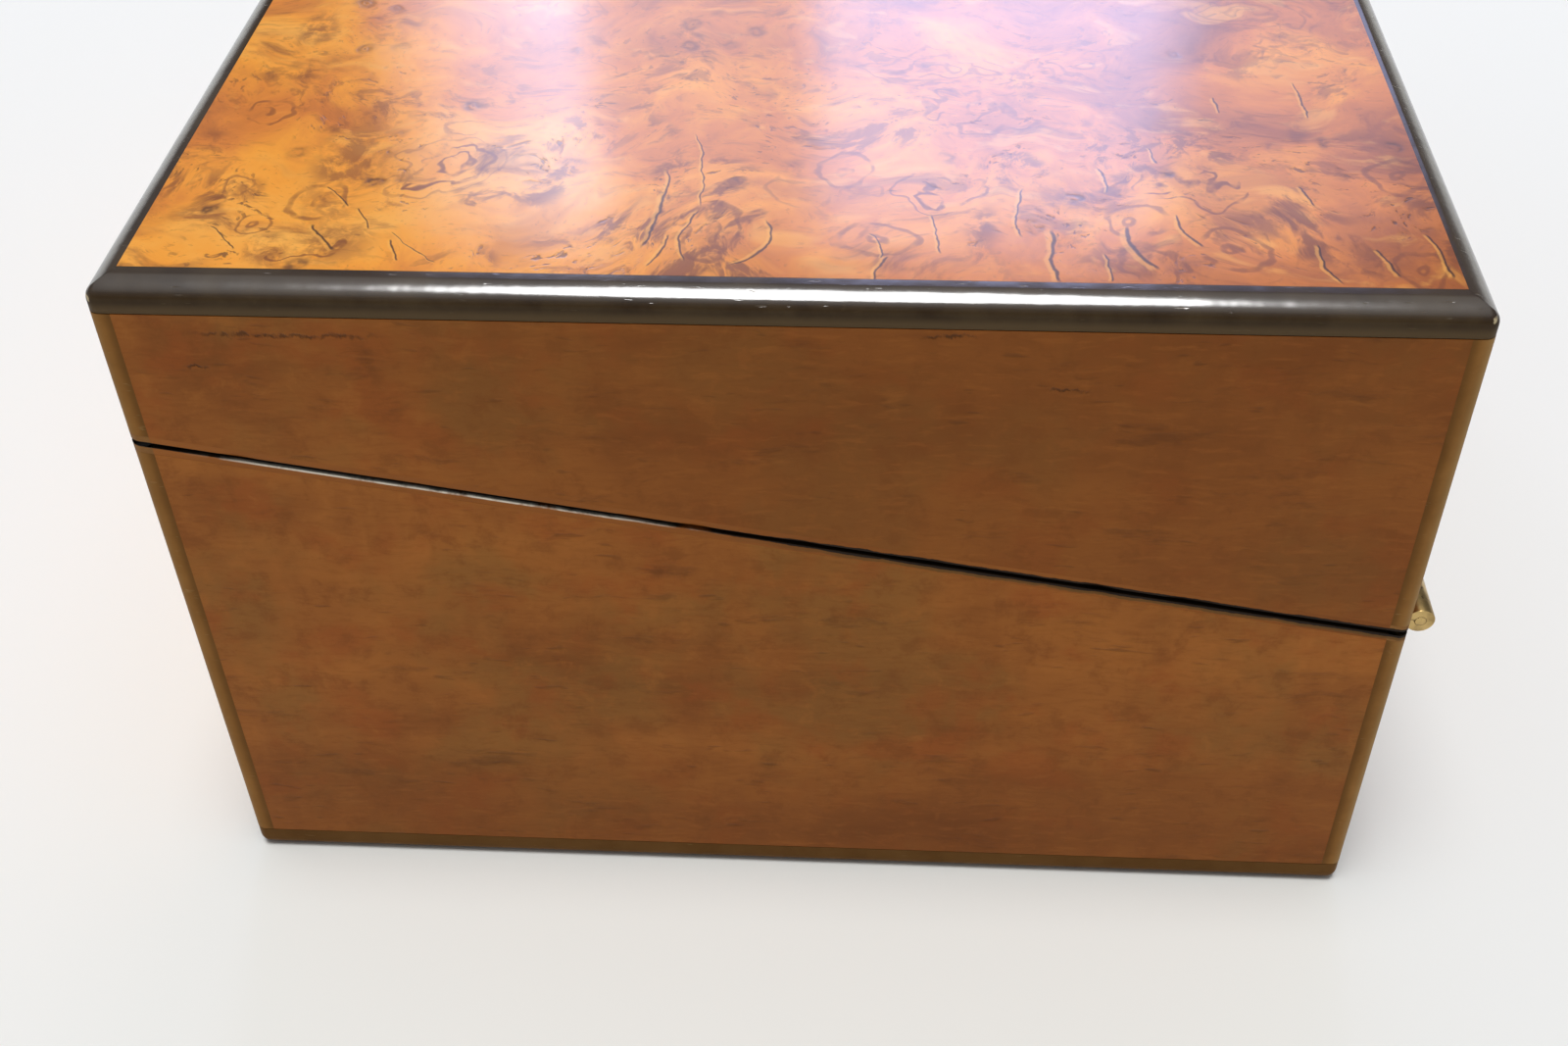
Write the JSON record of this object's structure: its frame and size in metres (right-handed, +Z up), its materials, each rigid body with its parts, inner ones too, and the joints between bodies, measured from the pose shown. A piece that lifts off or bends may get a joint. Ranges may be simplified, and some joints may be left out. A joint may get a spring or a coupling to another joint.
{
  "type": "writing slope",
  "caption": "Rectangular wooden writing box that parts on a slant and hinges open into one continuous leather-lined writing slope over its paper stores.",
  "frame": {"origin": "centre of the underside, on the surface the closed box stands on", "axes": "+X along the hinge, +Y towards the hinge side, +Z up; the lock side faces -Y"},
  "size_m": [0.35, 0.2458, 0.152],
  "materials": {
    "burr_walnut": "french polished burr veneer",
    "figured_walnut": "french polished straight veneer",
    "ebonised_wood": "ebonised, polished, worn at the edges",
    "carcass_wood": "plain",
    "inner_wood": "satin",
    "brass": "lacquered, tarnished",
    "lock_iron": "dull",
    "leather": "tooled skiver",
    "baize": "wool felt",
    "glass": "clear, moulded"
  },
  "bodies": {
    "base": {"bottom_baize": "baize", "bottom_board": "carcass_wood", "bottom_edging": "ebonised_wood", "base_front_wall": "carcass_wood", "base_back_wall": "carcass_wood", "base_left_wall": "carcass_wood", "base_right_wall": "carcass_wood", "base_front_veneer": "burr_walnut", "base_back_veneer": "figured_walnut", "base_left_veneer": "figured_walnut", "base_right_veneer": "figured_walnut", "base_corner_edging": "ebonised_wood", "base_rim_facing": "ebonised_wood", "till_partition": "inner_wood", "ink_cell_dividers": "inner_wood", "ink_cell_floors": "inner_wood", "tray_cleats": "inner_wood", "pen_tray": "inner_wood", "ink_bottles": "glass", "ink_caps": "brass", "base_flap_ledges": "inner_wood", "base_hinge_rail": "inner_wood", "lock_case": "lock_iron", "lock_plate": "brass", "keyhole_escutcheon": "brass", "hinge_base_leaf": "brass", "hinge_pin": "brass", "base_flap_hinge_seats": "brass", "base_flap_hinge_pins": "brass", "base_screws": "brass"},
    "lock_bolt": {"lock_bolt": "lock_iron"},
    "lid": {"top_board": "carcass_wood", "top_veneer": "burr_walnut", "top_edging": "ebonised_wood", "lid_front_wall": "carcass_wood", "lid_back_wall": "carcass_wood", "lid_left_wall": "carcass_wood", "lid_right_wall": "carcass_wood", "lid_front_veneer": "burr_walnut", "lid_back_veneer": "figured_walnut", "lid_left_veneer": "figured_walnut", "lid_right_veneer": "figured_walnut", "lid_corner_edging": "ebonised_wood", "lid_rim_facing": "ebonised_wood", "hinge_lid_leaf": "brass", "strike_plate": "brass", "lid_screws": "brass", "lid_flap_ledges": "inner_wood", "lid_hinge_rail": "inner_wood", "lid_flap_hinge_seats": "brass", "lid_flap_hinge_pins": "brass"},
    "base_flap": {"base_flap_board": "inner_wood", "base_flap_leather": "leather", "base_flap_hinge_leaves": "brass", "base_flap_screws": "brass"},
    "lid_flap": {"lid_flap_board": "inner_wood", "lid_flap_leather": "leather", "lid_flap_hinge_leaves": "brass", "lid_flap_screws": "brass", "lid_flap_tab": "leather"}
  },
  "joints": [
    {"name": "lid_hinge", "type": "hinge", "parent": "base", "child": "lid", "pos_m": [0, 0.123, 0.076], "axis": [-1, 0, 0], "range_deg": [0, 180]},
    {"name": "base_flap_hinge", "type": "hinge", "parent": "base", "child": "base_flap", "pos_m": [0, 0.09917, 0.07804], "axis": [-1, 0, 0], "range_deg": [0, 90]},
    {"name": "lid_flap_hinge", "type": "hinge", "parent": "lid", "child": "lid_flap", "pos_m": [0, 0.09985, 0.08198], "axis": [1, 0, 0], "range_deg": [0, 90]},
    {"name": "lock_bolt_slide", "type": "slide", "parent": "base", "child": "lock_bolt", "axis": [1, 0, 0], "range_m": [0, 0.0036]}
  ],
  "couplings": [
    {"joint": "base_flap_hinge", "follows": "lid_hinge", "ratio": 0.5},
    {"joint": "lid_flap_hinge", "follows": "lid_hinge", "ratio": 0.5}
  ]
}
